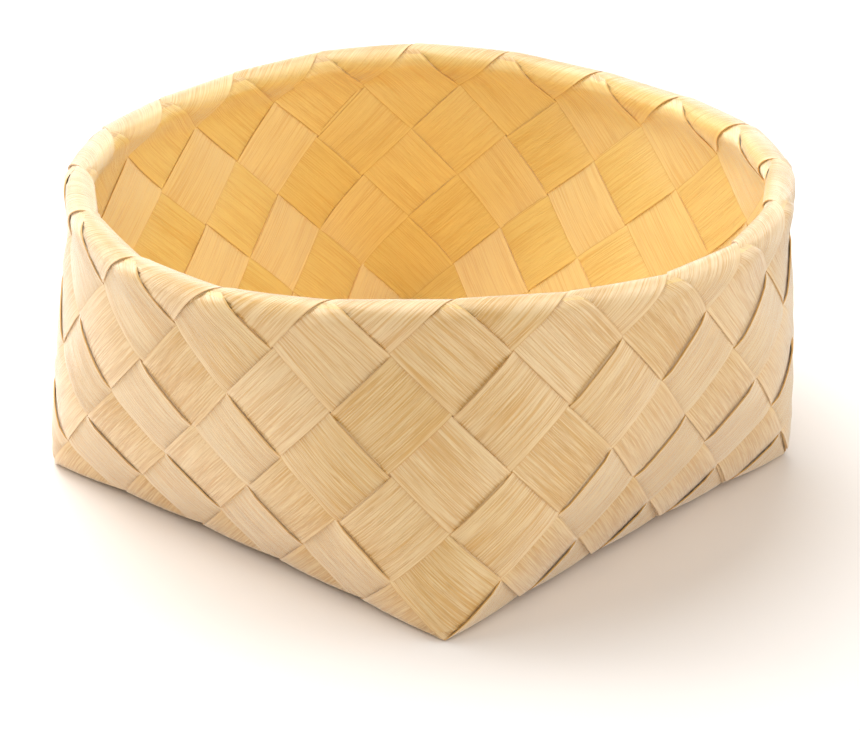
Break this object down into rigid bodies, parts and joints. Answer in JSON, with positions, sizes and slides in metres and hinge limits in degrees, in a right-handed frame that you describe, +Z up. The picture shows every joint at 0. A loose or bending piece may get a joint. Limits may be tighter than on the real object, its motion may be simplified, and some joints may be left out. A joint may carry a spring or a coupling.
{
  "type": "storage basket",
  "caption": "Plaited wood-splint basket with a square base, bellied walls and a round rolled rim, open at the top, for keeping small things.",
  "frame": {"origin": "centre of the base, on the surface that the basket stands on", "axes": "+Z up out of the basket's mouth, X and Y along the sides of the square base"},
  "size_m": [0.2406, 0.2406, 0.1126],
  "materials": {
    "splint_wood": "bare split wood, straw coloured, with fine grain along each splint"
  },
  "bodies": {
    "root": {"warp_splint_01": "splint_wood", "warp_splint_02": "splint_wood", "warp_splint_03": "splint_wood", "warp_splint_04": "splint_wood", "warp_splint_05": "splint_wood", "warp_splint_06": "splint_wood", "warp_splint_07": "splint_wood", "warp_splint_08": "splint_wood", "warp_splint_09": "splint_wood", "warp_splint_10": "splint_wood", "weft_splint_01": "splint_wood", "weft_splint_02": "splint_wood", "weft_splint_03": "splint_wood", "weft_splint_04": "splint_wood", "weft_splint_05": "splint_wood", "weft_splint_06": "splint_wood", "weft_splint_07": "splint_wood", "weft_splint_08": "splint_wood", "weft_splint_09": "splint_wood", "weft_splint_10": "splint_wood"}
  },
  "joints": []
}
